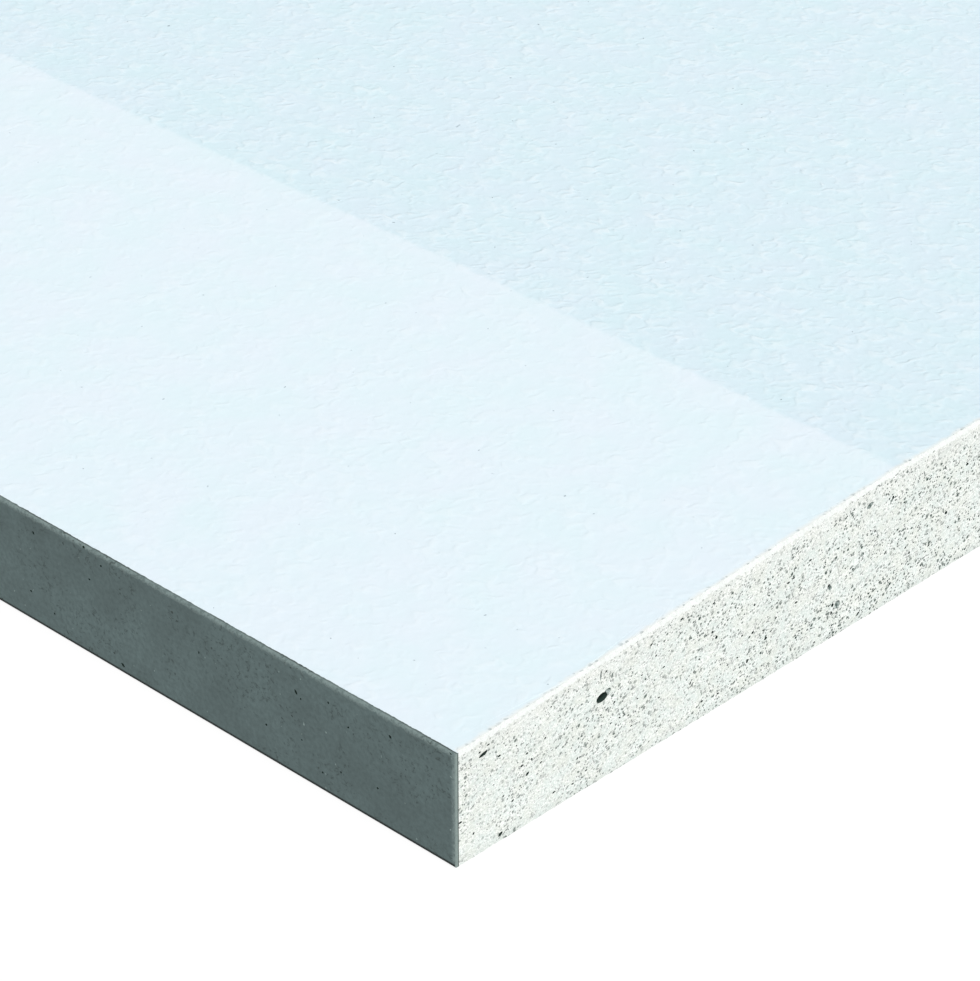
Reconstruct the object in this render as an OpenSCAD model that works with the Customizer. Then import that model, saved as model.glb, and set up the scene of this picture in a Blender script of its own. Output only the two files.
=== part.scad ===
// Wet room board: a cast gypsum core between fleece liners, with tapered long edges.
// It lies face up. X runs along the board, Y across it, and the origin is the middle of the back.

/* [Board] */
// Length between the two sawn ends
board_length = 2400; // [1200:50:3600]
// Width over the two long edges
board_width = 900; // [600:50:1250]
// Thickness between the tapers, liners included
board_thickness = 12.5; // [9.5:0.5:18]

/* [Tapered long edge] */
// Width of the margin where the face falls towards the long edge
taper_width = 50; // [40:1:80]
// Depth that the face has fallen at the long edge
taper_depth = 2.4; // [0.6:0.1:2.5]
// Radius of the long edge's upper and lower arris
arris_radius = 0.25; // [0.1:0.05:0.5]

/* [Liners] */
// Thickness of the coated fleece on the face
face_liner_thickness = 0.6; // [0.3:0.05:1]
// Thickness of the fleece on each long edge
edge_liner_thickness = 0.4; // [0.3:0.05:0.8]
// Thickness of the fleece on the back
back_liner_thickness = 0.4; // [0.3:0.05:0.8]

/* [Colours] */
// Cut gypsum
core_colour = "#eef2ec"; // color
// Coated face
face_colour = "#dcf0f8"; // color
// Long edges
edge_colour = "#5f706d"; // color
// Back
back_colour = "#d9dcd6"; // color

/* [Hidden] */

// Facets of a round, fine enough for a preview
$fn = 48;
// How far a cutting shape runs past what it cuts
overrun = 5;

half_width = board_width / 2;
// Height of the long edge, where the taper ends
edge_height = board_thickness - taper_depth;
// Angle at which the face falls in the tapered margin
taper_angle = atan2(taper_depth, taper_width);
// Half of the width between the two edge liners
half_inside = half_width - edge_liner_thickness;

// How far a round of an arris starts from its corner, for the corner's inner angle
function round_start(inner_angle) = arris_radius / tan(inner_angle / 2);

// Inner angles of the lower and the upper arris of a long edge
lower_angle = 90;
upper_angle = 90 + taper_angle;

// Middle of the upper arris round: one radius in from the edge and from the sloping face
upper_round_height = edge_height - round_start(upper_angle);

// Upper surface of the face at a distance from the middle of the board
function face_height(y) =
    board_thickness - max(0, abs(y) - half_width + taper_width) * tan(taper_angle);

// Half of the board's section, right of the middle line: the arrises are true rounds
module half_outline() {
    lower_start = round_start(lower_angle);
    upper_start = round_start(upper_angle);
    polygon([
        [0, 0],
        [half_width - lower_start, 0],
        [half_width, lower_start],
        [half_width, upper_round_height],
        [half_width - upper_start * cos(taper_angle), edge_height + upper_start * sin(taper_angle)],
        [half_width - taper_width, board_thickness],
        [0, board_thickness],
    ]);
    for (round_height = [lower_start, upper_round_height])
        translate([half_width - arris_radius, round_height]) circle(arris_radius);
}

// Whole section of the board, standing on its back
module outline() {
    half_outline();
    mirror([1, 0]) half_outline();
}

// Everything above a line that follows the face at a depth below it, between the edge liners
module above_face_depth(depth) {
    bend = half_width - taper_width;
    polygon([
        [-half_inside, face_height(half_inside) - depth],
        [-bend, board_thickness - depth],
        [bend, board_thickness - depth],
        [half_inside, face_height(half_inside) - depth],
        [half_inside, board_thickness + overrun],
        [-half_inside, board_thickness + overrun],
    ]);
}

// Strip between the edge liners from one height to another
module inside_strip(low, high) {
    polygon([[-half_inside, low], [half_inside, low], [half_inside, high], [-half_inside, high]]);
}

// Runs a section along the board from one sawn end to the other
module along_board() {
    rotate([90, 0, 90]) linear_extrude(height = board_length, center = true) children();
}

// Aerated gypsum, cast between the liners
module gypsum_core() {
    color(core_colour) along_board() difference() {
        intersection() {
            outline();
            inside_strip(back_liner_thickness, board_thickness);
        }
        above_face_depth(face_liner_thickness);
    }
}

// Coated fleece over the face, bent down into both tapered margins
module face_liner() {
    color(face_colour) along_board() intersection() {
        outline();
        above_face_depth(face_liner_thickness);
    }
}

// Fleece over the back, flat
module back_liner() {
    color(back_colour) along_board() intersection() {
        outline();
        inside_strip(0, back_liner_thickness);
    }
}

// Fleece over one long edge, from arris to arris; side is -1 at the front and 1 at the rear
module edge_liner(side) {
    color(edge_colour) along_board() intersection() {
        outline();
        translate([side > 0 ? half_inside : -half_width - overrun, -overrun])
            square([edge_liner_thickness + overrun, board_thickness + 2 * overrun]);
    }
}

gypsum_core();
face_liner();
back_liner();
edge_liner(-1);  // edge_liner_front
edge_liner(1);  // edge_liner_rear
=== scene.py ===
"""Looks of a wet room board: a sawn gypsum core between fleece liners, with tapered long edges."""

import math
from functools import partial

import bmesh
import bpy
import numpy as np
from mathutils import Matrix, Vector


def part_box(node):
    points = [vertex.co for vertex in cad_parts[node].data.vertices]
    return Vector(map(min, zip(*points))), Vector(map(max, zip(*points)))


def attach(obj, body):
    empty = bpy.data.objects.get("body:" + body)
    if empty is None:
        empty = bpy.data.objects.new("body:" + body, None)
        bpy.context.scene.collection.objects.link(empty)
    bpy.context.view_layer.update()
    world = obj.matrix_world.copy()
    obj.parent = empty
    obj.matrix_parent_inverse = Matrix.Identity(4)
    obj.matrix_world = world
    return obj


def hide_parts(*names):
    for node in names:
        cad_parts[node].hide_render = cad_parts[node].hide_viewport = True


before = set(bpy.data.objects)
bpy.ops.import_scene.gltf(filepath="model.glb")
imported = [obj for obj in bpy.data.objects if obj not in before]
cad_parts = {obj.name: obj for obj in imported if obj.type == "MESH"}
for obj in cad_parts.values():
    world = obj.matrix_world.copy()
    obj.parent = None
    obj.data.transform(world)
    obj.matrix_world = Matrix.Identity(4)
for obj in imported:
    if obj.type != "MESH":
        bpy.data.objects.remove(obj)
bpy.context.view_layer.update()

bl_info = {
    "name": "Wet room board",
    "version": (1, 0, 0),
    "blender": (4, 5, 0),
    "location": "3D View > Sidebar > Board",
    "description": "Builds a lined gypsum board with sawn ends and sets it on a studio stage",
    "category": "Object",
}

MM = 0.001
# Places that differ by less than this are level with each other
FLUSH = 0.001 * MM
# Least share of its length along an axis for an edge that lies that way, and of its normal for a face
ALIGNED = 0.9
FACING = 0.5

# Places read from the frame
CORE_LOW, CORE_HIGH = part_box("gypsum_core")
FACE_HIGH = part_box("face_liner")[1]
BACK_LOW, BACK_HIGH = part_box("back_liner")
EDGE_LOW, EDGE_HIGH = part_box("edge_liner_front")
END_X = FACE_HIGH.x
INSIDE_Y = FACE_HIGH.y
OUTSIDE_Y = -EDGE_LOW.y
TOP_Z = FACE_HIGH.z
BEND_Y = max(abs(v.co.y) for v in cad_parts["face_liner"].data.vertices if v.co.z > TOP_Z - FLUSH)
TAPER_DROP = TOP_Z - EDGE_HIGH.z
TAPER_SLOPE = TAPER_DROP / (INSIDE_Y - BEND_Y)
EDGE_THICKNESS = OUTSIDE_Y - INSIDE_Y

# Spacing of the cuts: wide strips over a whole piece, and fine steps along a ragged line
LINER_STRIP = 12.5 * MM
EDGE_STRIP = 25 * MM
TORN_STEP = 0.15 * MM
FRAYED_STEP = 0.25 * MM
ARRIS_STEP = 0.25 * MM
# Width of a band of smaller faces between the strips of a liner and its sawn end
END_BAND = 1.5 * MM
# Run of the torn coat's broken edge, and of the slope of the bare fleece down to a sawn end
COAT_RUN = 0.05 * MM
FLEECE_RUN = 0.08 * MM
# Wide waves of the torn line as a share of its fine ones, and the tear at the end as a share of the slope's
WIDE_WAVE_SHARE = 0.7
SAWN_TEAR_SHARE = 1.4
# Faces in the round of an arris, and how far below the round the arris wanders too
ARRIS_FACES = 4
ARRIS_SKIRT = 0.1 * MM

# Scattered hollows: how many there are, and the seeds of their places
VOID_COUNT, VOID_SEED = 3600, 7
LARGE_VOID_COUNT, LARGE_VOID_SEED = 64, 13
PIT_COUNT, PIT_SEED = 1200, 11
# Shares of its own stretch of the board that a hollow may lie at, and of its usual width that it may have
PLACE_SHARES = (0.1, 0.9)
WIDTH_SHARES = (0.5, 1.5)
# Mean and spread of the lean of a void, in radians
VOID_LEAN = (0.2, 0.3)
# Depth, length and height of the hollows, as shares of their width
VOID_DEPTH_SHARE, VOID_LENGTH_SHARES, VOID_HEIGHT_SHARE = 2, (1, 2), 0.8
LARGE_VOID_DEPTH_SHARE, LARGE_VOID_LENGTH_SHARES = 1.4, (1.1, 2)
PIT_DEPTH_SHARE, PIT_HEIGHT_SHARES = 0.8, (0.6, 1.4)
# Depth of a listed void, as a share of its length
BY_HAND_DEPTH_SHARE = 1.2
# Least depth of a small void below the face, and heights and widths of the large voids
VOID_COVER = 0.9 * MM
LARGE_VOID_HEIGHTS = (1.2 * MM, 8.8 * MM)
LARGE_VOID_WIDTHS = (0.35 * MM, 0.85 * MM)
# Depth of the shallow voids
SHALLOW_DEPTH = 0.3 * MM
# How far a pit keeps from the back and from the upper arris
PIT_CLEAR_LOW, PIT_CLEAR_HIGH = 0.5 * MM, 0.6 * MM
# Stretch of the near sawn end and of the front edge whose large hollows are listed
END_BY_HAND = 70 * MM
EDGE_BY_HAND = 55 * MM

# Large voids of the near sawn end: millimetres from the near corner, up, long, wide, and degrees of lean
LARGE_VOIDS = (
    (15.62, 7.46, 1.25, 0.78, 6),
    (2.95, 8.7, 0.9, 0.3, 12),
    (4.75, 0.62, 0.5, 0.3, 25),
    (42.5, 3.1, 0.3, 0.35, 20),
    (42.4, 2.4, 0.25, 0.25, 0),
    (41.9, 5.2, 0.35, 0.2, 40),
    (45.8, 0.75, 0.5, 0.2, 30),
    (28.5, 6.7, 0.3, 0.3, 30),
    (28.0, 7.4, 0.25, 0.25, 0),
    (34.4, 3.8, 0.35, 0.25, 20),
    (32.3, 2.7, 0.4, 0.2, 40),
    (32.8, 5.1, 0.3, 0.2, 30),
    (32.9, 7.6, 0.25, 0.2, 0),
    (59.0, 9.0, 0.3, 0.25, 20),
    (49.5, 10.0, 0.25, 0.35, 0),
    (56.6, 5.45, 0.35, 0.3, 0),
    (45.9, 6.3, 0.3, 0.25, 20),
    (7.6, 4.6, 0.4, 0.25, 30),
)
# Shallow voids of the near sawn end, whose walls are painted in half shade, in the same measures
SHALLOW_VOIDS = (
    (16.2, 7.70, 0.8, 0.56, 10),
    (46.6, 10.55, 0.85, 0.45, 20),
    (42.1, 4.9, 0.4, 0.5, 30),
    (43.1, 2.9, 0.7, 0.75, 0),
    (40.3, 2.8, 0.3, 0.4, 40),
    (46.0, 6.3, 0.35, 0.35, 20),
    (15.45, 9.5, 0.16, 0.9, -5),
    (16.7, 8.9, 0.2, 0.5, -10),
)
# Pits of the front edge near the corner: millimetres from the sawn end, up, long, wide, and degrees of lean
EDGE_PITS = (
    (16.6, 7.7, 0.5, 0.26, -60),
    (36.5, 0.8, 0.5, 0.28, -40),
    (6.6, 8.5, 0.36, 0.26, -50),
    (46.6, 8.6, 0.36, 0.24, -60),
    (8.0, 3.2, 0.24, 0.2, 0),
    (13.9, 1.7, 0.24, 0.2, 20),
    (20.0, 3.1, 0.26, 0.22, 0),
    (38.5, 9.1, 0.28, 0.2, 30),
    (11.0, 7.2, 0.26, 0.18, 40),
    (11.9, 2.7, 0.24, 0.16, 0),
    (27.4, 6.2, 0.3, 0.16, 80),
    (13.1, 8.4, 0.26, 0.2, 70),
    (16.1, 3.6, 0.2, 0.16, 0),
    (16.1, 7.3, 0.2, 0.18, 0),
    (0.5, 10.05, 0.5, 0.2, -20),
    (40.5, 9.95, 0.34, 0.24, -20),
    (40.0, 7.2, 0.26, 0.2, 0),
    (47.4, 2.8, 0.28, 0.22, 0),
    (44.6, 1.9, 0.24, 0.2, 30),
)

# Turns that lay a pattern on a sawn end or on a long edge
QUARTER = math.pi / 2
ON_END = (QUARTER, 0, QUARTER)
ON_EDGE = (QUARTER, 0, 0)
# Settings of a soft threshold and of a mix of two colours
SMOOTH = {"interpolation_type": "SMOOTHSTEP"}
RGBA = {"data_type": "RGBA"}
# Specular level of the board's surfaces, which are all matt
MATT = 0.3

# Stage: side of the floor, its gap under the board, nearest distance that shows, and height of the white sky
FLOOR_SIZE = 200.0
FLOOR_GAP = 0.05 * MM
NEAREST = 10 * MM
HORIZON_RISE = 0.2


def linear(code):
    """Turns an sRGB hex colour into linear RGBA."""
    parts = [int(code[i:i + 2], 16) / 255 for i in (1, 3, 5)]
    return (*[p / 12.92 if p <= 0.04045 else ((p + 0.055) / 1.055) ** 2.4 for p in parts], 1.0)


def length(name, description, millimetres):
    """A size that a user can change, given in millimetres."""
    return bpy.props.FloatProperty(name=name, description=description, default=millimetres * MM,
                                   min=0, precision=5, unit="LENGTH")


def colour(name, description, code):
    """A colour that a user can change, given as an sRGB hex value."""
    return bpy.props.FloatVectorProperty(name=name, description=description, default=linear(code),
                                         min=0, max=1, size=4, subtype="COLOR")


def angle(name, description, degrees):
    """An angle that a user can change, given in degrees."""
    return bpy.props.FloatProperty(name=name, description=description, default=math.radians(degrees),
                                   subtype="ANGLE")


class BoardSizes(bpy.types.PropertyGroup):
    """Small sizes that the sawing and the lining leave on the board."""

    torn_width: length("Torn width", "How far the coat is torn back from a sawn end", 0.12)
    torn_depth: length("Torn depth", "How deep the fleece is torn at a sawn end", 0.43)
    coat_step: length("Coat step", "Height of the torn coat above the bare fleece", 0.05)
    ragged: length("Ragged line", "How far the torn line wanders", 0.22)
    fray: length("Fray", "How far the back fleece frays at a sawn end", 0.14)
    arris: length("Upper arris", "Radius of the rounded upper arris of a long edge", 0.25)
    lower_arris: length("Lower arris", "Radius of the rounded lower arris of a long edge", 0.2)
    arris_wander: length("Arris wander", "How far the arris of a long edge wanders", 0.06)
    void: length("Void", "Usual width of a void in the sawn gypsum", 0.17)
    pit: length("Pit", "Usual width of a pit in a long edge", 0.2)


class BoardColours(bpy.types.PropertyGroup):
    """Colours of the board's surfaces."""

    coat: colour("Coat", "Coated face between the tapered margins", "#dceef5")
    coat_margin: colour("Coat margin", "Coated face in the tapered margins", "#e6f3f9")
    fleece: colour("Torn fleece", "Bare fleece where the coat is torn", "#edf1ee")
    gypsum: colour("Gypsum", "Cool patches of the sawn gypsum", "#e3ece7")
    gypsum_warm: colour("Warm gypsum", "Warm patches of the sawn gypsum", "#e6ebe3")
    # The void colour is painted shade: inside a void the gypsum is as white, drawn this dark for the shade in
    # it
    void: colour("Void", "Inside of a void in the gypsum", "#2f463e")
    edge: colour("Edge", "Dark blotches of the fleece on the long edges", "#5b6b6b")
    edge_pale: colour("Pale edge", "Pale blotches of the fleece on the long edges", "#6a7d7d")
    # This paler fleece also serves as painted light where the upper arris turns up to the light
    edge_worn: colour("Worn edge", "Fleece where it is rubbed or cut", "#869694")
    back: colour("Back", "Fleece on the back", "#d9dcd6")


class StudioSettings(bpy.types.PropertyGroup):
    """Camera and light of the studio stage."""

    azimuth: angle("Azimuth", "Bearing of the camera round the board", 44.17)
    elevation: angle("Elevation", "Height of the camera above the board", 31.40)
    lens: bpy.props.FloatProperty(name="Lens", description="Focal length on a full frame sensor",
                                  default=147.4, unit="CAMERA")
    from_corner: bpy.props.FloatVectorProperty(
        name="From corner", description="Camera's place from the board's near lower corner",
        default=(166.16 * MM, -167.39 * MM, 176.29 * MM), size=3, subtype="TRANSLATION", unit="LENGTH")
    sky: bpy.props.FloatProperty(name="Sky", description="Strength of the light overhead",
                                 default=0.42, min=0)
    key: bpy.props.FloatProperty(name="Key", description="Strength of the soft key light",
                                 default=2.2, min=0)
    key_lean: angle("Key lean", "How far the key light leans from overhead to the board's end", 28)
    key_spread: angle("Key spread", "How wide the key light looks from the board", 20)
    floor: colour("Floor", "Light that the floor throws back, beside its own glow", "#606060")
    glow: bpy.props.FloatProperty(name="Glow", description="Light of the floor itself", default=0.92, min=0)


def face_height(y):
    """Height of the coated face at a place across the board."""
    return TOP_Z - max(0.0, abs(y) - BEND_Y) * TAPER_SLOPE


def on_face(co):
    """Tells whether a place lies on the coated face."""
    return co.z > face_height(co.y) - FLUSH


def on_face_row(row, co):
    """Tells whether a place lies on the coated face, in a row as far along the board as this."""
    return on_face(co) and abs(abs(co.x) - row) < FLUSH


def on_back_beyond(row, co):
    """Tells whether a place lies on the back, at least as far along the board as this."""
    return abs(co.x) > row - FLUSH and co.z < FLUSH


def on_front(co):
    """Tells whether a place lies outside the gypsum at the front edge."""
    return co.y < -INSIDE_Y - FLUSH


def above(height, co):
    """Tells whether a place is above a height."""
    return co.z > height


def front_arris(low, high, side):
    """Tells whether the side of a face is an arris along the front edge, between two heights."""
    return side.calc_length() > END_X and all(on_front(v.co) and low < v.co.z < high for v in side.verts)


def on_sawn_end(face):
    """Tells whether a face looks along the board, as a sawn end does."""
    return abs(face.normal.x) > FACING


def select_only(piece):
    """Selects one piece and makes it active."""
    bpy.ops.object.select_all(action="DESELECT")
    piece.select_set(True)
    bpy.context.view_layer.objects.active = piece


def add_block(name, low, high):
    """Adds a cube at its size and place, with the place kept in its mesh."""
    low, high = Vector(low), Vector(high)
    bpy.ops.object.select_all(action="DESELECT")
    bpy.ops.mesh.primitive_cube_add(size=1, location=(low + high) / 2, scale=high - low)
    block = bpy.context.object
    block.name = block.data.name = name
    bpy.ops.object.transform_apply(location=True, rotation=True, scale=True)
    return block


def edit(piece):
    """Starts edit mode on one piece."""
    select_only(piece)
    bpy.ops.object.mode_set(mode="EDIT")


def end_edit():
    """Goes back to object mode."""
    bpy.ops.object.mode_set(mode="OBJECT")


def pick(piece, kind, test):
    """In edit mode, selects only the vertices, edges or faces that pass a test."""
    bpy.ops.mesh.select_mode(type=kind)
    bpy.ops.mesh.select_all(action="DESELECT")
    shape = bmesh.from_edit_mesh(piece.data)
    for part in {"VERT": shape.verts, "EDGE": shape.edges, "FACE": shape.faces}[kind]:
        part.select_set(test(part))
    shape.select_flush_mode()
    bmesh.update_edit_mesh(piece.data)


def cut_across(axis, places):
    """In edit mode, cuts the whole piece by planes across an axis."""
    normal = [0, 0, 0]
    normal["XYZ".index(axis)] = 1
    for place in places:
        bpy.ops.mesh.select_all(action="SELECT")
        bpy.ops.mesh.bisect(plane_co=[n * place for n in normal], plane_no=normal)


def at_both_ends(rows):
    """Rows across the board that lie as far from the middle at both ends."""
    return [side * row for side in (-1, 1) for row in rows]


def cut_along(piece, axis, spacing, test=lambda co: True):
    """In edit mode, cuts the edges along an axis whose ends pass a test into lengths of about a spacing."""
    way = "XYZ".index(axis)

    def lengths(side):
        """How many spacings long an edge is, or none if it runs another way or fails the test."""
        run = abs(side.verts[0].co[way] - side.verts[1].co[way])
        fits = run > ALIGNED * side.calc_length() and all(test(v.co) for v in side.verts)
        return round(run / spacing) if fits else 0

    counts = {lengths(side) for side in bmesh.from_edit_mesh(piece.data).edges}
    for count in sorted(counts, reverse=True):
        if count > 1:
            pick(piece, "EDGE", lambda side: lengths(side) == count)
            bpy.ops.mesh.subdivide(number_cuts=count - 1)


def lower_margins(piece, test):
    """In edit mode, bends the tapered margins down: those vertices there that pass a test."""
    cut_across("Y", (-BEND_Y, BEND_Y))
    pick(piece, "VERT", lambda v: abs(v.co.y) > BEND_Y + FLUSH and test(v.co))
    bpy.ops.transform.translate(value=(0, 0, -TAPER_DROP))


def use_materials(piece, *materials):
    """Gives a piece its materials, in order."""
    for material in materials:
        piece.data.materials.append(material)


def paint(piece, index, test):
    """In edit mode, gives the faces that pass a test one of the piece's materials."""
    pick(piece, "FACE", test)
    piece.active_material_index = index
    bpy.ops.object.material_slot_assign()


def group(piece, name, test):
    """Makes a vertex group of the vertices that pass a test."""
    made = piece.vertex_groups.new(name=name)
    made.add([v.index for v in piece.data.vertices if test(v.co)], 1.0, "REPLACE")


def apply(piece, modifier):
    """Applies a modifier to its piece."""
    name = modifier.name
    select_only(piece)
    bpy.ops.object.modifier_apply(modifier=name)
    if name in piece.modifiers:
        raise RuntimeError(f"{name} could not be applied to {piece.name}")


def roughen(piece, vertices, direction, grain, reach, middle=0.5):
    """Moves a vertex group to and fro by cloudy noise of a given grain, and applies it."""
    texture = bpy.data.textures.new(f"{piece.name}_{vertices}", "CLOUDS")
    texture.noise_scale = grain
    texture.noise_depth = 1
    wave = piece.modifiers.new(vertices, "DISPLACE")
    wave.texture = texture
    wave.texture_coords = "LOCAL"
    wave.direction = direction
    wave.vertex_group = vertices
    wave.strength = reach
    wave.mid_level = middle
    apply(piece, wave)


def both_ends(count):
    """Places along the board of hollows that lie in the two sawn ends by turns."""
    return np.where(np.arange(count) % 2 == 0, END_X, -END_X)


def spread(random, count, half):
    """Places over a width, one at random in each of as many equal stretches."""
    return -half + 2 * half / count * (np.arange(count) + random.uniform(*PLACE_SHARES, count))


def columns(rows):
    """Columns of a table of hollows: distance, height, length and width in metres, and lean in radians."""
    *sizes, lean = np.array(rows).T
    return (*[size * MM for size in sizes], np.radians(lean))


def hollow(piece, places, spans, leans, axis, material, rounds=1):
    """Cuts many small rounded hollows into a piece: one ball is modelled, copied and subtracted."""
    bpy.ops.object.select_all(action="DESELECT")
    bpy.ops.mesh.primitive_ico_sphere_add(subdivisions=rounds, radius=0.5)
    ball = bpy.context.object
    points = np.array([v.co for v in ball.data.vertices])
    faces = np.array([p.vertices for p in ball.data.polygons])
    copies = points[None] * spans[:, None]
    a, b = [way for way in range(3) if way != "XYZ".index(axis)]
    cos, sin = np.cos(leans)[:, None], np.sin(leans)[:, None]
    copies[..., a], copies[..., b] = (copies[..., a] * cos - copies[..., b] * sin,
                                      copies[..., a] * sin + copies[..., b] * cos)
    starts = np.arange(len(places)) * len(points)
    mesh = bpy.data.meshes.new("hollows")
    mesh.from_pydata((copies + places[:, None]).reshape(-1, 3).tolist(), [],
                     (faces[None] + starts[:, None, None]).reshape(-1, 3).tolist())
    mesh.materials.append(material)
    cutter = bpy.data.objects.new("hollows", mesh)
    bpy.context.collection.objects.link(cutter)
    cut = piece.modifiers.new("hollows", "BOOLEAN")
    cut.operation = "DIFFERENCE"
    cut.solver = "MANIFOLD"
    cut.object = cutter
    cut.material_mode = "TRANSFER"
    apply(piece, cut)
    for done in (cutter, ball):
        bpy.data.objects.remove(done)


def hand_over(piece, node):
    """Lets a finished piece stand for its node of the frame."""
    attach(piece, "root")
    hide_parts(node)


def finish_of(make, *colours):
    """A material that several pieces share: made once, by its own function."""
    return bpy.data.materials.get(make.__name__) or make(*colours)


def new_tree(name):
    """Starts a material and returns it with its empty node tree."""
    material = bpy.data.materials.new(name)
    material.use_nodes = True
    material.node_tree.nodes.clear()
    return material, material.node_tree


def add_node(tree, kind, inputs=None, **settings):
    """Adds a node, linked where an input is given a socket; returns its only output, or all outputs."""
    node = tree.nodes.new("ShaderNode" + kind)
    for name, value in settings.items():
        setattr(node, name, value)
    for name, value in (inputs or {}).items():
        if isinstance(value, bpy.types.NodeSocket):
            tree.links.new(value, node.inputs[name])
        else:
            node.inputs[name].default_value = value
    live = [output for output in node.outputs if output.enabled]
    return live[0] if len(live) == 1 else node.outputs


def per(millimetres):
    """Texture scale at which one grain of a pattern is this long."""
    return 1 / (millimetres * MM)


def specks(tree, flat, size, share, radius, soft=0.15):
    """Scattered specks from 0 to 1, of random size and strength, in a share of cells (size in mm)."""
    add = partial(add_node, tree)
    cells = add("VectorMath", {"Vector": flat, "Scale": per(size)}, operation="SCALE")
    wobble = add("TexNoise", {"Vector": cells, "Scale": 2.0, "Detail": 1.0})["Color"]
    cells = add("VectorMath", {0: wobble, 1: (0.5, 0.5, 0.5), 2: cells}, operation="MULTIPLY_ADD")
    dots = add("TexVoronoi", {"Vector": cells, "Scale": 1.0}, voronoi_dimensions="2D")
    chance = add("SeparateColor", {"Color": dots["Color"]})
    reach = add("MapRange", {"Value": chance["Red"], "From Min": 1 - share, "To Max": radius})
    inside = add("Math", {0: reach, 1: dots["Distance"]}, operation="SUBTRACT")
    shape = add("MapRange", {"Value": inside, "From Max": soft}, **SMOOTH)
    strength = add("MapRange", {"Value": chance["Green"], "To Min": 0.35})
    return add("Math", {0: shape, 1: strength}, operation="MULTIPLY")


def layered(tree, base, *layers):
    """Lays tints over a base colour in order, each at its own strength."""
    for strength, tint in layers:
        base = add_node(tree, "Mix", {"Factor": strength, "A": base, "B": tint}, **RGBA)
    return base


def finish(tree, base, height, relief, roughness):
    """Ends a material with its colour, its relief of a height in millimetres, and its roughness."""
    normal = add_node(tree, "Bump", {"Height": height, "Distance": relief * MM})
    shader = add_node(tree, "BsdfPrincipled", {"Base Color": base, "Normal": normal, "Roughness": roughness,
                                               "Specular IOR Level": MATT})
    add_node(tree, "OutputMaterial", {"Surface": shader})


def mottled(name, grain, tones, levels, relief, roughness, strength=1.0):
    """A plain finish in two tones: a noise (grain in mm) brings in the second between two of its levels."""
    material, tree = new_tree(name)
    add = partial(add_node, tree)
    place = add("TexCoord")["Object"]
    noise = add("TexNoise", {"Vector": place, "Scale": per(grain), "Detail": 2.0})["Fac"]
    tone = add("MapRange", {"Value": noise, "From Min": levels[0], "From Max": levels[1], "To Max": strength})
    finish(tree, layered(tree, tones[0], (tone, tones[1])), noise, relief, roughness)
    return material


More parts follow.
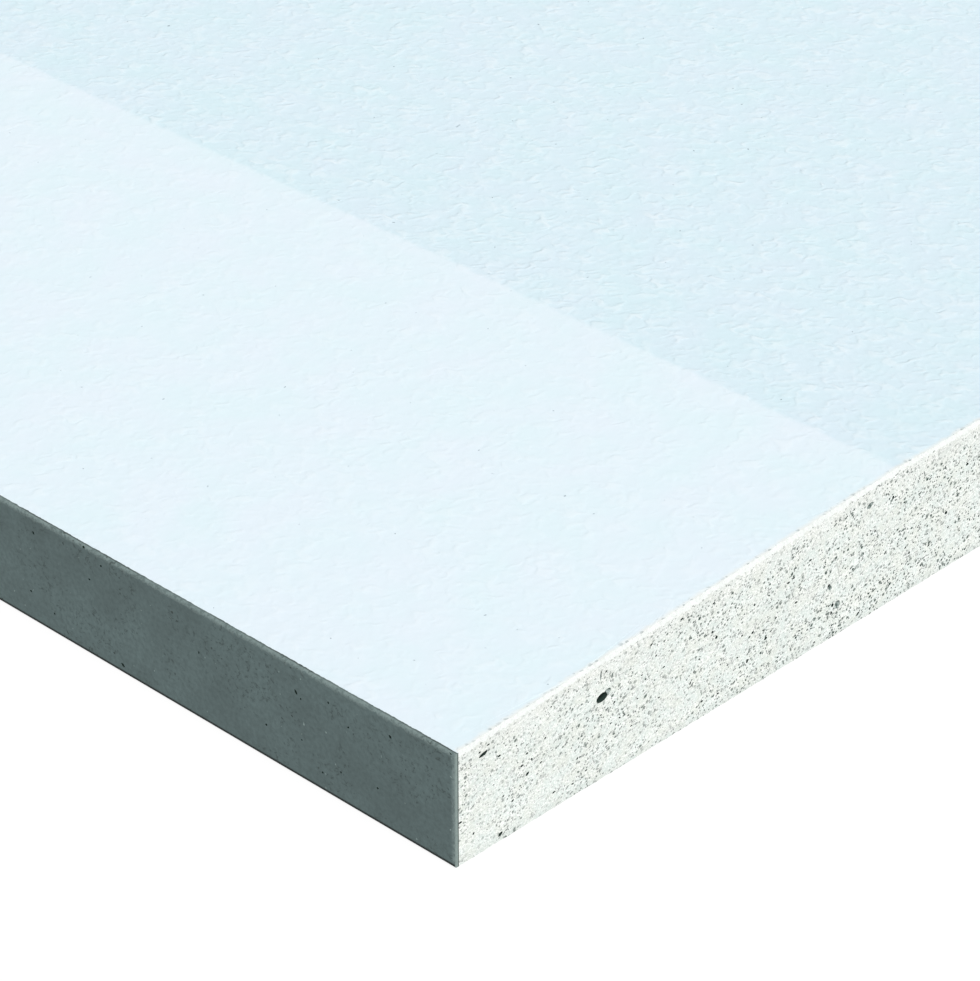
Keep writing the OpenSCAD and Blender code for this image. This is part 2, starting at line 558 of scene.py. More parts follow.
def sawn_gypsum(colours):
    """Sawn aerated gypsum: matt white, peppered with small voids, painted dark for the shade in them, that
    the saw smeared to one side.
    """
    # Widths in millimetres; real grit is finer, so it is drawn as coarse as it needs to show
    warm_patch, void_crowd, grit, saw_mark = 1.6, 3.4, 0.17, 0.8
    small_void, wide_void = 0.19, 0.42
    void_lean, saw_lean = math.radians(20), math.radians(18)
    material, tree = new_tree("sawn_gypsum")
    add = partial(add_node, tree)
    place = add("TexCoord")["Object"]
    flat = add("Mapping", {"Vector": place, "Rotation": ON_END}, vector_type="TEXTURE")
    smeared = add("Mapping", {"Vector": flat, "Rotation": (0, 0, void_lean), "Scale": (1.12, 0.92, 1)},
                  vector_type="TEXTURE")
    patches = add("TexNoise", {"Vector": flat, "Scale": per(warm_patch), "Detail": 3.0})["Fac"]
    crowd = add("TexNoise", {"Vector": flat, "Scale": per(void_crowd), "Detail": 2.0})["Fac"]
    # Grit, gathered in long streaks that the saw left
    grain = add("TexNoise", {"Vector": smeared, "Scale": per(grit), "Detail": 1.0})["Fac"]
    sawing = add("Mapping", {"Vector": flat, "Rotation": (0, 0, saw_lean), "Scale": (9, 1, 1)},
                 vector_type="TEXTURE")
    streaks = add("TexNoise", {"Vector": sawing, "Scale": per(saw_mark), "Detail": 2.0})["Fac"]
    grain = add("Math", {0: streaks, 1: 0.35, 2: grain}, operation="MULTIPLY_ADD")
    # Small voids, a wider speck round each that becomes its pale rim, and a few wide voids
    small = specks(tree, smeared, small_void, share=0.44, radius=0.7, soft=0.16)
    rims = specks(tree, smeared, small_void, share=0.44, radius=1.4, soft=0.2)
    wide = specks(tree, smeared, wide_void, share=0.6, radius=0.42)
    # Depth below the face, which falls in the tapered margins
    axes = add("SeparateXYZ", {"Vector": place})
    across = add("Math", {0: axes["Y"]}, operation="ABSOLUTE")
    face = add("MapRange", {"Value": across, "From Min": BEND_Y, "From Max": INSIDE_Y, "To Min": TOP_Z,
                            "To Max": EDGE_HIGH.z})
    depth = add("Math", {0: face, 1: axes["Z"]}, operation="SUBTRACT")
    depth = add("Math", {0: crowd, 1: 1.2 * MM, 2: depth}, operation="MULTIPLY_ADD")
    # Voids are fewer in the dense layer below the face, between crowds, and towards the long edges
    clear = add("MapRange", {"Value": depth, "From Min": 0.9 * MM, "From Max": 2.4 * MM, "To Min": 0.75},
                **SMOOTH)
    crowded = add("MapRange", {"Value": crowd, "From Min": 0.36, "From Max": 0.6, "To Min": 0.5}, **SMOOTH)
    loose = add("MapRange", {"Value": across, "From Min": INSIDE_Y, "From Max": BEND_Y, "To Min": 0.8,
                             "To Max": 1.12})
    crowded = add("Math", {0: crowded, 1: loose}, operation="MULTIPLY")
    # The small and wide voids take the void colour, painted shade for the hollows they stand for
    voids = add("Math", {0: small, 1: wide}, operation="MAXIMUM")
    voids = add("Math", {0: voids, 1: clear}, operation="MULTIPLY")
    voids = add("Math", {0: voids, 1: crowded}, operation="MULTIPLY")
    # Cool and warm patches, with the dense layer whiter
    tone = add("MapRange", {"Value": patches, "From Min": 0.38, "From Max": 0.62}, **SMOOTH)
    dense = add("MapRange", {"Value": depth, "From Min": 1.2 * MM, "From Max": 3.2 * MM, "To Min": 0.5,
                             "To Max": 0.0})
    # The low grit is grey, and the high grit and the rims of the voids are bright
    shade = add("MapRange", {"Value": grain, "From Min": 0.735, "From Max": 0.475, "To Max": 0.24})
    rims = add("Math", {0: rims, 1: 0.9}, operation="MULTIPLY")
    fleck = add("MapRange", {"Value": grain, "From Min": 0.675, "From Max": 0.835, "To Max": 0.8})
    pale = add("Math", {0: rims, 1: fleck}, operation="MAXIMUM")
    # Greyer along the back
    greyer_at_back = add("MapRange", {"Value": axes["Z"], "From Min": 0.8 * MM, "From Max": 0.42 * MM,
                              "To Max": 0.2})
    base = layered(tree, colours.gypsum, (tone, colours.gypsum_warm), (dense, linear("#eaebe6")),
                   (shade, linear("#b3beb9")), (pale, linear("#fdfffc")), (greyer_at_back, linear("#bcc6c2")),
                   (voids, colours.void))
    height = add("Math", {0: grain, 1: voids}, operation="SUBTRACT")
    finish(tree, base, height, relief=0.05, roughness=0.95)
    return material


def shaded_void_wall(colours):
    """Inside of a void: the same gypsum, painted dark grey-green for the shade deep inside, where the light
    hardly reaches.
    """
    mottle_grain = 0.15
    tones = (linear("#27322f"), colours.void)
    return mottled("shaded_void_wall", mottle_grain, tones, levels=(0, 1), relief=0.02, roughness=1.0)


def half_shaded_void_wall():
    """Wall of a shallow void: the same gypsum, painted in half shade, grey-green in pale and dark flecks."""
    mottle_grain = 0.2
    tones = (linear("#55635f"), linear("#b7c2be"))
    return mottled("half_shaded_void_wall", mottle_grain, tones, levels=(0.35, 0.65), relief=0.03, roughness=1.0)


def coated_glass_fleece(colours):
    """Coated glass fleece: a matt film that shows the fleece under it as fine short wrinkles."""
    # Widths in millimetres
    wrinkle, wave, patch, pinhole_cell, cloud, scuff = 0.85, 2.4, 2.5, 3.2, 6, 0.4
    wrinkle_lean = math.radians(38)
    material, tree = new_tree("coated_glass_fleece")
    add = partial(add_node, tree)
    place = add("TexCoord")["Object"]
    axes = add("SeparateXYZ", {"Vector": place})
    # The wrinkles run askew to the board, in stronger and calmer patches
    askew = add("Mapping", {"Vector": place, "Rotation": (0, 0, wrinkle_lean), "Scale": (1.25, 1.1, 1)},
                vector_type="TEXTURE")
    wrinkles = add("TexNoise", {"Vector": askew, "Scale": per(wrinkle), "Detail": 0.0,
                                "Distortion": 0.9})["Fac"]
    strokes = add("MapRange", {"Value": wrinkles, "From Min": 0.2, "From Max": 0.8}, **SMOOTH)
    swell = add("TexNoise", {"Vector": place, "Scale": per(wave), "Detail": 2.0})["Fac"]
    height = add("Math", {0: swell, 1: 0.8, 2: strokes}, operation="MULTIPLY_ADD")
    patches = add("TexNoise", {"Vector": place, "Scale": per(patch), "Detail": 3.0})["Fac"]
    calm = add("MapRange", {"Value": patches, "From Min": 0.35, "From Max": 0.65, "To Min": 0.25})
    height = add("Math", {0: height, 1: calm}, operation="MULTIPLY")
    pinholes = specks(tree, place, pinhole_cell, share=0.25, radius=0.035, soft=0.02)
    height = add("Math", {0: height, 1: pinholes}, operation="SUBTRACT")
    # The tapered margins were pressed, so they are paler and their relief is weaker
    across = add("Math", {0: axes["Y"]}, operation="ABSOLUTE")
    across = add("Math", {0: patches, 1: 0.9 * MM, 2: across}, operation="MULTIPLY_ADD")
    margin = add("MapRange", {"Value": across, "From Min": BEND_Y + 0.1 * MM,
                              "From Max": BEND_Y + 0.8 * MM}, **SMOOTH)
    pressed = add("MapRange", {"Value": margin, "To Min": 1.0, "To Max": 0.55})
    height = add("Math", {0: height, 1: pressed}, operation="MULTIPLY")
    base = layered(tree, colours.coat, (margin, colours.coat_margin))
    # Faint lavender and cyan clouds in the coat
    tint = add("TexNoise", {"Vector": place, "Scale": per(cloud), "Detail": 4.0})["Fac"]
    tint = add("MapRange", {"Value": tint, "From Min": 0.35, "From Max": 0.65})
    tint = layered(tree, linear("#fafefe"), (tint, linear("#fefdff")))
    base = add("Mix", {"Factor": 1.0, "A": base, "B": tint}, **RGBA, blend_type="MULTIPLY")
    # The crests of the wrinkles are paler: partly the coat rubbed there, partly a painted highlight
    crest_highlight = add("MapRange", {"Value": wrinkles, "From Min": 0.4, "From Max": 0.85, "To Max": 0.3}, **SMOOTH)
    crest_highlight = add("Math", {0: crest_highlight, 1: calm}, operation="MULTIPLY")
    crest_highlight = add("Math", {0: crest_highlight, 1: pressed}, operation="MULTIPLY")
    # Scuffed and grey next to the sawn ends, with dark dashes there that are painted shadow under the torn
    # coat's lip
    lip_shadow_dashes = specks(tree, askew, scuff, share=0.7, radius=0.55)
    along = add("Math", {0: axes["X"]}, operation="ABSOLUTE")
    along = add("Math", {0: wrinkles, 1: 0.3 * MM, 2: along}, operation="MULTIPLY_ADD")
    scuffed = add("MapRange", {"Value": along, "From Min": END_X - 0.4 * MM, "From Max": END_X + 0.05 * MM,
                               "To Max": 0.85})
    lip_shadow_dashes = add("Math", {0: lip_shadow_dashes, 1: scuffed}, operation="MULTIPLY")
    base = layered(tree, base, (crest_highlight, linear("#fbfeff")), (pinholes, linear("#a9b9c3")),
                   (scuffed, linear("#f0f1ec")), (lip_shadow_dashes, linear("#8f9c9e")))
    finish(tree, base, height, relief=0.08, roughness=0.7)
    return material


def torn_glass_fleece(colours):
    """Bare fleece where the saw tore the coat off: bright white, with short loose fibres."""
    # Width in millimetres; a real fibre is far finer, so it is drawn as coarse as it needs to show
    fibre = 0.16
    tones = (colours.fleece, linear("#bfc6c2"))
    return mottled("torn_glass_fleece", fibre, tones, levels=(0.45, 0.25), relief=0.03, roughness=0.95,
                   strength=0.35)


def torn_coat():
    """Broken edge of the coat: a ragged line of small grey shadows and pale flakes."""
    flake = 0.45
    tones = (linear("#f2f6f6"), linear("#8e9a9c"))
    return mottled("torn_coat", flake, tones, levels=(0.4, 0.6), relief=0.02, roughness=0.9)


def grey_glass_fleece(colours):
    """Grey-green glass fleece: matt and mottled, with cracks and pits, paler where it is rubbed and with
    painted light on its upper arris, and with painted shade in its seam and along its foot.
    """
    # Widths in millimetres; the felt's real fibres are finer, so its mottle is drawn as coarse as it shows
    blotch, felt, vein, dark_cell, cluster, pale_cell = 6, 0.38, 1.6, 0.55, 4.5, 1.2
    material, tree = new_tree("grey_glass_fleece")
    add = partial(add_node, tree)
    place = add("TexCoord")["Object"]
    axes = add("SeparateXYZ", {"Vector": place})
    flat = add("Mapping", {"Vector": place, "Rotation": ON_EDGE}, vector_type="TEXTURE")
    blotches = add("TexNoise", {"Vector": flat, "Scale": per(blotch), "Detail": 3.0})["Fac"]
    mottle = add("TexNoise", {"Vector": flat, "Scale": per(felt), "Detail": 3.0, "Roughness": 0.6})["Fac"]
    veins = add("TexNoise", {"Vector": flat, "Scale": per(vein), "Detail": 1.0, "Distortion": 2.0})["Fac"]
    dark_dots = specks(tree, flat, dark_cell, share=0.23, radius=0.28)
    clusters = add("TexNoise", {"Vector": flat, "Scale": per(cluster), "Detail": 1.0})["Fac"]
    marked = add("MapRange", {"Value": clusters, "From Min": 0.44, "From Max": 0.56, "To Min": 0.15},
                 **SMOOTH)
    pale_dots = specks(tree, flat, pale_cell, share=0.22, radius=0.1, soft=0.06)
    blotched = add("MapRange", {"Value": blotches, "From Min": 0.3, "From Max": 0.7})
    felted = add("MapRange", {"Value": mottle, "From Min": 0.3, "From Max": 0.7, "To Max": 0.5})
    # Paler in patches along the upper arris and at the sawn ends: rubbed, and along the arris also painted
    # light where it turns up to the light
    height = add("Math", {0: mottle, 1: 1.2 * MM, 2: axes["Z"]}, operation="MULTIPLY_ADD")
    worn_and_lit = add("MapRange", {"Value": height, "From Min": EDGE_HIGH.z + 0.23 * MM,
                            "From Max": EDGE_HIGH.z + 0.4 * MM}, **SMOOTH)
    along = add("Math", {0: axes["X"]}, operation="ABSOLUTE")
    along = add("Math", {0: mottle, 1: 0.2 * MM, 2: along}, operation="MULTIPLY_ADD")
    worn_end = add("MapRange", {"Value": along, "From Min": END_X - 0.36 * MM, "From Max": END_X + 0.03 * MM},
                   **SMOOTH)
    worn_and_lit = add("Math", {0: worn_and_lit, 1: worn_end}, operation="MAXIMUM")
    rubbed = add("MapRange", {"Value": mottle, "From Min": 0.62, "From Max": 0.38, "To Min": 0.3})
    worn_and_lit = add("Math", {0: worn_and_lit, 1: rubbed}, operation="MULTIPLY")
    # Cracks follow one level of a noise, broken into short strokes; they and the dark dots lie in clusters
    level = add("Math", {0: veins, 1: 0.5}, operation="SUBTRACT")
    level = add("Math", {0: level}, operation="ABSOLUTE")
    crack = add("MapRange", {"Value": level, "From Min": 0.035, "From Max": 0.0, "To Max": 0.62})
    stroke = add("MapRange", {"Value": mottle, "From Min": 0.5, "From Max": 0.56}, **SMOOTH)
    crack = add("Math", {0: crack, 1: stroke}, operation="MULTIPLY")
    dark = add("Math", {0: dark_dots, 1: crack}, operation="MAXIMUM")
    dark = add("Math", {0: dark, 1: marked}, operation="MULTIPLY")
    # Painted contact shadow along the lower arris
    contact_shadow = add("MapRange", {"Value": axes["Z"], "From Min": 0.4 * MM, "From Max": 0.26 * MM, "To Max": 0.95},
               **SMOOTH)
    # The coat laps over the seam to the face in a ragged line, with a dark line of painted shade in the seam
    # beside it
    seam = add("Math", {0: axes["Y"]}, operation="ABSOLUTE")
    seam = add("Math", {0: mottle, 1: 0.16 * MM, 2: seam}, operation="MULTIPLY_ADD")
    seam_shade = add("MapRange", {"Value": seam, "From Min": INSIDE_Y + 0.3 * MM, "From Max": INSIDE_Y + 0.22 * MM,
                            "To Max": 0.9})
    broken = add("MapRange", {"Value": clusters, "From Min": 0.35, "From Max": 0.6, "To Min": 0.5})
    seam_shade = add("Math", {0: seam_shade, 1: broken}, operation="MULTIPLY")
    lap = add("MapRange", {"Value": seam, "From Min": INSIDE_Y + 0.17 * MM,
                           "From Max": INSIDE_Y + 0.12 * MM})
    base = layered(tree, colours.edge, (blotched, colours.edge_pale), (felted, linear("#4c5a59")),
                   (worn_and_lit, colours.edge_worn), (pale_dots, linear("#93a5a2")), (dark, linear("#37423f")),
                   (contact_shadow, linear("#1f2625")), (seam_shade, linear("#3d4745")), (lap, colours.coat_margin))
    height = add("Math", {0: mottle, 1: dark}, operation="SUBTRACT")
    finish(tree, base, height, relief=0.03, roughness=0.85)
    return material


def cut_glass_fleece():
    """Cut through the fleece of a long edge: paler felt with a dark line of painted shade where it meets the
    gypsum.
    """
    # Width in millimetres; the felt's real fibres are finer, so it is drawn as coarse as it needs to show
    fibre = 0.2
    material, tree = new_tree("cut_glass_fleece")
    add = partial(add_node, tree)
    place = add("TexCoord")["Object"]
    axes = add("SeparateXYZ", {"Vector": place})
    felt = add("TexNoise", {"Vector": place, "Scale": per(fibre), "Detail": 2.0})["Fac"]
    across = add("Math", {0: axes["Y"]}, operation="ABSOLUTE")
    inner = add("MapRange", {"Value": across, "From Min": OUTSIDE_Y, "From Max": INSIDE_Y})
    tone = add("MapRange", {"Value": felt, "From Min": 0.3, "From Max": 0.7, "To Max": 0.4})
    # A dark line of painted shade where the fleece meets the gypsum
    seam_shade = add("MapRange", {"Value": across, "From Min": INSIDE_Y + 0.13 * MM,
                            "From Max": INSIDE_Y + 0.08 * MM, "To Max": 0.9})
    base = layered(tree, linear("#7d8c89"), (inner, linear("#9dada8")), (tone, linear("#64726f")),
                   (seam_shade, linear("#3f4946")))
    finish(tree, base, felt, relief=0.03, roughness=0.9)
    return material


def bare_glass_fleece(colours):
    """Bare glass fleece: an off-white felt of short crossing fibres."""
    # Widths in millimetres; real fibres are far finer, so they are drawn as coarse as they need to show
    tuft, fibre, cloud = 0.6, 0.22, 25
    fibre_turns = (10, 55, 100, 145)
    fibre_stretch = 25
    material, tree = new_tree("bare_glass_fleece")
    add = partial(add_node, tree)
    place = add("TexCoord")["Object"]
    height = add("TexNoise", {"Vector": place, "Scale": per(tuft), "Detail": 3.0})["Fac"]
    for turn in fibre_turns:
        strands = add("Mapping", {"Vector": place, "Rotation": (0, 0, math.radians(turn)),
                                  "Scale": (fibre_stretch, 1, 1)}, vector_type="TEXTURE")
        fibres = add("TexNoise", {"Vector": strands, "Scale": per(fibre), "Detail": 1.0})["Fac"]
        fibres = add("MapRange", {"Value": fibres, "From Min": 0.5, "From Max": 0.75})
        height = add("Math", {0: height, 1: fibres}, operation="MAXIMUM")
    patches = add("TexNoise", {"Vector": place, "Scale": per(cloud), "Detail": 3.0})["Fac"]
    tone = add("MapRange", {"Value": height, "From Min": 0.4, "From Max": 0.9, "To Max": 0.5})
    base = layered(tree, colours.back, (patches, linear("#cfd3cc")), (tone, linear("#eceee9")))
    finish(tree, base, height, relief=0.05, roughness=0.95)
    return material


def white_acrylic(studio):
    """White acrylic of a light table: an even pale floor that glows from below."""
    material, tree = new_tree("white_acrylic")
    shader = add_node(tree, "BsdfPrincipled", {"Base Color": studio.floor, "Roughness": 0.9,
                                               "Specular IOR Level": 0.0, "Emission Color": (1, 1, 1, 1),
                                               "Emission Strength": studio.glow})
    add_node(tree, "OutputMaterial", {"Surface": shader})
    material.cycles.emission_sampling = "NONE"
    return material


class BOARD_OT_gypsum_core(bpy.types.Operator):
    """Builds the gypsum core with voids in its sawn ends"""

    bl_idname = "board.gypsum_core"
    bl_label = "Gypsum core"

    def execute(self, context):
        sizes, colours = context.scene.board_sizes, context.scene.board_colours
        core = add_block("gypsum_core_sawn", CORE_LOW, CORE_HIGH)
        edit(core)
        lower_margins(core, partial(above, CORE_HIGH.z - FLUSH))
        end_edit()
        use_materials(core, finish_of(sawn_gypsum, colours))
        # The walls of the voids are painted dark, as the shade inside them
        wall = finish_of(shaded_void_wall, colours)
        self.cut_small_voids(core, sizes.void, wall)
        self.cut_large_voids(core, wall)
        self.scatter_large_voids(core, wall)
        # The shallow voids' walls are painted in half shade
        self.cut_shallow_voids(core, finish_of(half_shaded_void_wall))
        hand_over(core, "gypsum_core")
        return {"FINISHED"}

    def cut_small_voids(self, core, usual_width, wall):
        """Scatters small voids all over both sawn ends"""
        random = np.random.default_rng(VOID_SEED)
        ends = both_ends(VOID_COUNT)
        across = spread(random, VOID_COUNT, INSIDE_Y)
        top = np.array([face_height(y) for y in across]) - VOID_COVER
        up = CORE_LOW.z + (top - CORE_LOW.z) * random.uniform(0, 1, VOID_COUNT)
        width = usual_width * random.uniform(*WIDTH_SHARES, VOID_COUNT)
        long = width * random.uniform(*VOID_LENGTH_SHARES, VOID_COUNT)
        spans = np.stack([width * VOID_DEPTH_SHARE, long, width * VOID_HEIGHT_SHARE], 1)
        leans = random.normal(*VOID_LEAN, VOID_COUNT) * np.sign(ends)
        hollow(core, np.stack([ends, across, up], 1), spans, leans, "X", wall)

    def cut_large_voids(self, core, wall):
        """Cuts the listed large voids of the near sawn end"""
        across, up, long, wide, leans = columns(LARGE_VOIDS)
        places = np.stack([np.full(len(up), END_X), across - OUTSIDE_Y, up], 1)
        spans = np.stack([long * BY_HAND_DEPTH_SHARE, long, wide], 1)
        hollow(core, places, spans, leans, "X", wall, rounds=3)

    def scatter_large_voids(self, core, wall):
        """Scatters a few large voids along the rest of both ends"""
        random = np.random.default_rng(LARGE_VOID_SEED)
        ends = both_ends(LARGE_VOID_COUNT)
        across = spread(random, LARGE_VOID_COUNT, INSIDE_Y)
        up = random.uniform(*LARGE_VOID_HEIGHTS, LARGE_VOID_COUNT)
        width = random.uniform(*LARGE_VOID_WIDTHS, LARGE_VOID_COUNT)
        long = width * random.uniform(*LARGE_VOID_LENGTH_SHARES, LARGE_VOID_COUNT)
        spans = np.stack([width * LARGE_VOID_DEPTH_SHARE, long, width], 1)
        leans = random.normal(*VOID_LEAN, LARGE_VOID_COUNT)
        rest = (ends < 0) | (across > END_BY_HAND - OUTSIDE_Y)
        hollow(core, np.stack([ends, across, up], 1)[rest], spans[rest], leans[rest], "X", wall, rounds=2)

    def cut_shallow_voids(self, core, wall):
        """Cuts the listed shallow voids of the near sawn end"""
        across, up, long, wide, leans = columns(SHALLOW_VOIDS)
        places = np.stack([np.full(len(up), END_X), across - OUTSIDE_Y, up], 1)
        spans = np.stack([np.full(len(up), SHALLOW_DEPTH), long, wide], 1)
        hollow(core, places, spans, leans, "X", wall, rounds=2)


class BOARD_OT_face_liner(bpy.types.Operator):
    """Builds the coated fleece on the face, torn along both sawn ends"""

    bl_idname = "board.face_liner"
    bl_label = "Face liner"

    def execute(self, context):
        sizes, colours = context.scene.board_sizes, context.scene.board_colours
        liner = add_block("face_liner_coated", (-END_X, -INSIDE_Y, CORE_HIGH.z), (END_X, INSIDE_Y, TOP_Z))
        # Rows of vertices beside a sawn end: the torn coat's lip and foot, and the slope of the fleece
        torn = END_X - sizes.torn_width
        foot = torn + COAT_RUN
        slope = END_X - FLEECE_RUN
        edit(liner)
        lower_margins(liner, lambda co: True)
        cut_along(liner, "Y", LINER_STRIP)
        cut_across("X", at_both_ends((END_X - END_BAND, torn, foot, slope)))
        cut_along(liner, "Y", TORN_STEP, lambda co: abs(co.x) > torn - FLUSH and on_face(co))
        use_materials(liner, finish_of(coated_glass_fleece, colours), finish_of(torn_glass_fleece, colours),
                      finish_of(torn_coat), finish_of(sawn_gypsum, colours))
        paint(liner, 1, lambda f: abs(f.calc_center_median().x) > foot)
        paint(liner, 2, lambda f: torn < abs(f.calc_center_median().x) < foot and f.normal.z > FACING)
        paint(liner, 3, on_sawn_end)
        end_edit()
        group(liner, "torn_line", lambda co: on_face_row(torn, co) or on_face_row(foot, co))
        for name, row in {"lip": torn, "foot": foot, "slope": slope, "sawn": END_X}.items():
            group(liner, name, partial(on_face_row, row))
        # The torn line wanders to and fro; a middle past 0.5 sinks a row as well
        roughen(liner, "torn_line", "X", grain=1.0 * MM, reach=sizes.ragged * WIDE_WAVE_SHARE)
        roughen(liner, "torn_line", "X", grain=0.25 * MM, reach=sizes.ragged)
        roughen(liner, "lip", "Z", grain=0.5 * MM, reach=sizes.coat_step)
        roughen(liner, "foot", "Z", grain=0.3 * MM, reach=sizes.coat_step, middle=1.5)
        roughen(liner, "slope", "Z", grain=0.25 * MM, reach=sizes.torn_depth, middle=1.1)
        roughen(liner, "sawn", "Z", grain=0.3 * MM, reach=sizes.torn_depth * SAWN_TEAR_SHARE, middle=1.15)
        hand_over(liner, "face_liner")
        return {"FINISHED"}


class BOARD_OT_back_liner(bpy.types.Operator):
    """Builds the bare fleece on the back, frayed along both sawn ends"""

    bl_idname = "board.back_liner"
    bl_label = "Back liner"

    def execute(self, context):
        sizes, colours = context.scene.board_sizes, context.scene.board_colours
        liner = add_block("back_liner_fleece", BACK_LOW, BACK_HIGH)
        fringe = END_X - END_BAND
        edit(liner)
        cut_along(liner, "Y", LINER_STRIP)
        cut_across("X", at_both_ends((fringe - END_BAND, fringe)))
        cut_along(liner, "Y", FRAYED_STEP, partial(on_back_beyond, fringe))
        use_materials(liner, finish_of(bare_glass_fleece, colours), finish_of(sawn_gypsum, colours))
        paint(liner, 1, on_sawn_end)
        end_edit()
        group(liner, "frayed", partial(on_back_beyond, END_X))
        roughen(liner, "frayed", "Z", grain=0.35 * MM, reach=sizes.fray, middle=0.3)
        hand_over(liner, "back_liner")
        return {"FINISHED"}


class BOARD_OT_edge_liners(bpy.types.Operator):
    """Builds the fleece on both long edges"""

    bl_idname = "board.edge_liners"
    bl_label = "Edge liners"

    def execute(self, context):
        sizes, colours = context.scene.board_sizes, context.scene.board_colours
        front = add_block("edge_liner_front_fleece", (-END_X, -OUTSIDE_Y, 0), (END_X, -INSIDE_Y, EDGE_HIGH.z))
        round_foot = EDGE_HIGH.z - sizes.arris - ARRIS_SKIRT
        edit(front)
        pick(front, "VERT", lambda v: on_front(v.co) and above(EDGE_HIGH.z - FLUSH, v.co))
        bpy.ops.transform.translate(value=(0, 0, -EDGE_THICKNESS * TAPER_SLOPE))
        lower_half, upper_half = (-FLUSH, FLUSH), (EDGE_HIGH.z / 2, EDGE_HIGH.z + FLUSH)
        for radius, heights in ((sizes.lower_arris, lower_half), (sizes.arris, upper_half)):
            pick(front, "EDGE", partial(front_arris, *heights))
            bpy.ops.mesh.bevel(offset=radius, segments=ARRIS_FACES, affect="EDGES")
        cut_along(front, "X", EDGE_STRIP)
        cut_along(front, "X", ARRIS_STEP, partial(above, round_foot))
        use_materials(front, finish_of(grey_glass_fleece, colours), finish_of(cut_glass_fleece))
        paint(front, 1, on_sawn_end)
        end_edit()
        group(front, "arris", partial(above, round_foot))
        roughen(front, "arris", "Z", grain=0.9 * MM, reach=sizes.arris_wander)
        # The walls of the pits are painted dark, as the shade inside them
        self.scatter_pits(front, sizes.pit, finish_of(shaded_void_wall, colours))
        self.cut_pits(front, finish_of(shaded_void_wall, colours))
        select_only(front)
        bpy.ops.object.duplicate()
        rear = bpy.context.object
        rear.name = rear.data.name = "edge_liner_rear_fleece"
        bpy.ops.transform.rotate(value=math.pi, orient_axis="Z", center_override=(0, 0, 0))
        bpy.ops.object.transform_apply(location=True, rotation=True, scale=True)
        hand_over(front, "edge_liner_front")
        hand_over(rear, "edge_liner_rear")
        return {"FINISHED"}

    def scatter_pits(self, front, usual_width, wall):
        """Scatters pits along the edge, but for the stretch whose pits are listed"""
        random = np.random.default_rng(PIT_SEED)
        along = spread(random, PIT_COUNT, END_X)
        up = random.uniform(PIT_CLEAR_LOW, EDGE_HIGH.z - PIT_CLEAR_HIGH, PIT_COUNT)
        width = usual_width * random.uniform(*WIDTH_SHARES, PIT_COUNT)
        high = width * random.uniform(*PIT_HEIGHT_SHARES, PIT_COUNT)
        spans = np.stack([width, width * PIT_DEPTH_SHARE, high], 1)
        leans = random.uniform(0, math.pi, PIT_COUNT)
        places = np.stack([along, np.full(PIT_COUNT, -OUTSIDE_Y), up], 1)
        rest = along < END_X - EDGE_BY_HAND
        hollow(front, places[rest], spans[rest], leans[rest], "Y", wall)

    def cut_pits(self, front, wall):
        """Cuts the listed pits near the corner"""
        along, up, long, wide, leans = columns(EDGE_PITS)
        places = np.stack([END_X - along, np.full(len(up), -OUTSIDE_Y), up], 1)
        hollow(front, places, np.stack([long, wide, wide], 1), leans, "Y", wall)


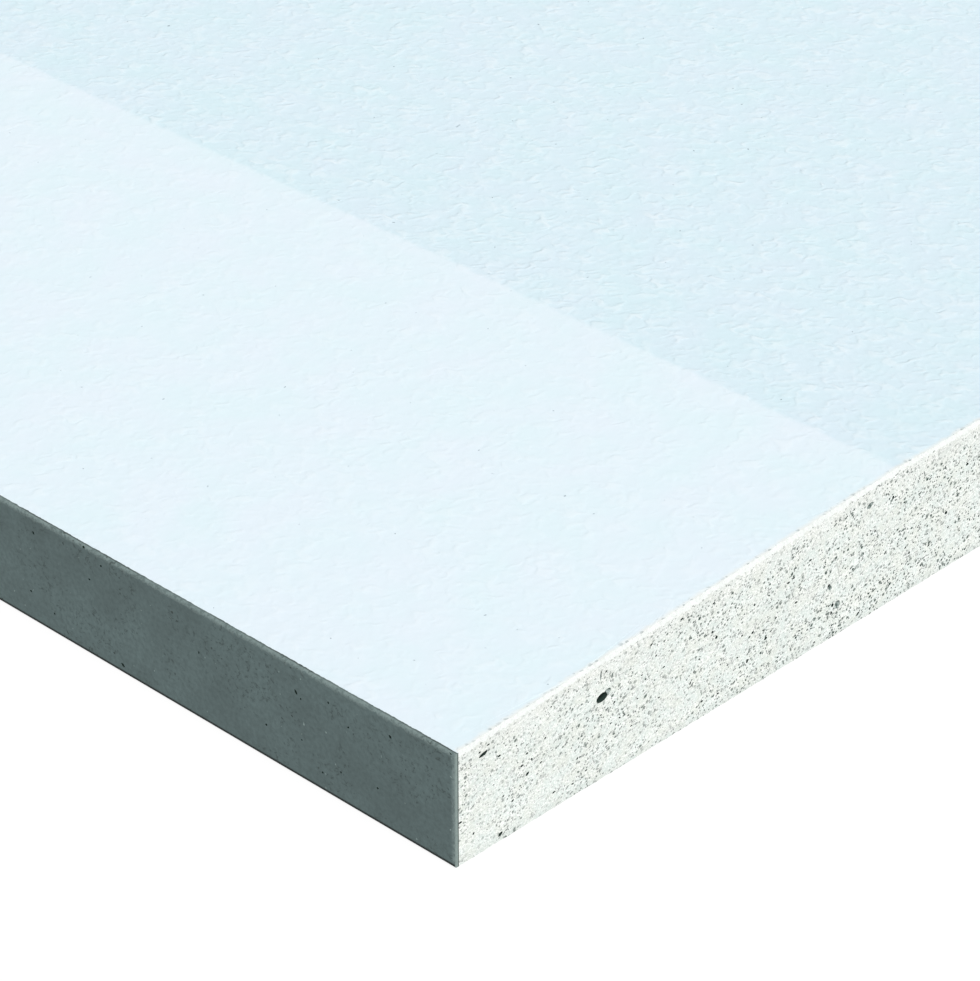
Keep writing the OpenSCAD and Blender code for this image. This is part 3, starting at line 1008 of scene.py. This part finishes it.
class BOARD_OT_studio_stage(bpy.types.Operator):
    """Sets the floor, the light and the camera"""

    bl_idname = "board.studio_stage"
    bl_label = "Studio stage"

    def execute(self, context):
        scene, studio = context.scene, context.scene.board_studio
        scene.view_settings.view_transform = "Standard"
        bpy.ops.object.select_all(action="DESELECT")
        bpy.ops.mesh.primitive_plane_add(size=FLOOR_SIZE, location=(0, 0, -FLOOR_GAP))
        floor = bpy.context.object
        floor.name = "studio_floor"
        use_materials(floor, white_acrylic(studio))
        self.add_sky(scene, studio)
        bpy.ops.object.light_add(type="SUN", rotation=(0, studio.key_lean, 0))
        key = bpy.context.object
        key.name = "soft_key"
        key.data.energy = studio.key
        key.data.angle = studio.key_spread
        camera = bpy.data.objects.new("camera", bpy.data.cameras.new("camera"))
        scene.collection.objects.link(camera)
        camera.data.lens = studio.lens
        camera.data.clip_start = NEAREST
        camera.location = Vector((END_X, -OUTSIDE_Y, 0)) + Vector(studio.from_corner)
        camera.rotation_euler = (QUARTER - studio.elevation, 0, studio.azimuth)
        scene.camera = camera
        return {"FINISHED"}

    def add_sky(self, scene, studio):
        """Adds an even sky with a white band round the horizon"""
        scene.world = bpy.data.worlds.new("studio_sky")
        scene.world.use_nodes = True
        scene.world.cycles.sampling_method = "NONE"
        tree = scene.world.node_tree
        tree.nodes.clear()
        add = partial(add_node, tree)
        way = add("SeparateXYZ", {"Vector": add("TexCoord")["Generated"]})
        strength = add("MapRange", {"Value": way["Z"], "From Max": HORIZON_RISE, "To Min": 1.0,
                                    "To Max": studio.sky})
        light = add("Background", {"Color": (1, 1, 1, 1), "Strength": strength})
        add("OutputWorld", {"Surface": light})


class BOARD_PT_panel(bpy.types.Panel):
    """Lists the board's pieces in the sidebar"""

    bl_idname = "BOARD_PT_panel"
    bl_label = "Wet room board"
    bl_space_type = "VIEW_3D"
    bl_region_type = "UI"
    bl_category = "Board"

    def draw(self, context):
        for operator in OPERATORS:
            self.layout.operator(operator.bl_idname)
        for group_name, kind in SETTINGS.items():
            settings = getattr(context.scene, group_name)
            for name in kind.__annotations__:
                self.layout.prop(settings, name)


SETTINGS = {"board_sizes": BoardSizes, "board_colours": BoardColours, "board_studio": StudioSettings}
OPERATORS = (BOARD_OT_gypsum_core, BOARD_OT_face_liner, BOARD_OT_back_liner, BOARD_OT_edge_liners,
             BOARD_OT_studio_stage)
CLASSES = (*SETTINGS.values(), *OPERATORS, BOARD_PT_panel)


def register():
    """Adds the classes and the settings to Blender."""
    for kind in CLASSES:
        bpy.utils.register_class(kind)
    for name, kind in SETTINGS.items():
        setattr(bpy.types.Scene, name, bpy.props.PointerProperty(type=kind))


def unregister():
    """Takes the settings and the classes out again."""
    for name in SETTINGS:
        delattr(bpy.types.Scene, name)
    for kind in reversed(CLASSES):
        bpy.utils.unregister_class(kind)


def main():
    """Builds every piece and the stage."""
    register()
    bpy.ops.board.gypsum_core()
    bpy.ops.board.face_liner()
    bpy.ops.board.back_liner()
    bpy.ops.board.edge_liners()
    bpy.ops.board.studio_stage()


if __name__ == "__main__":
    main()
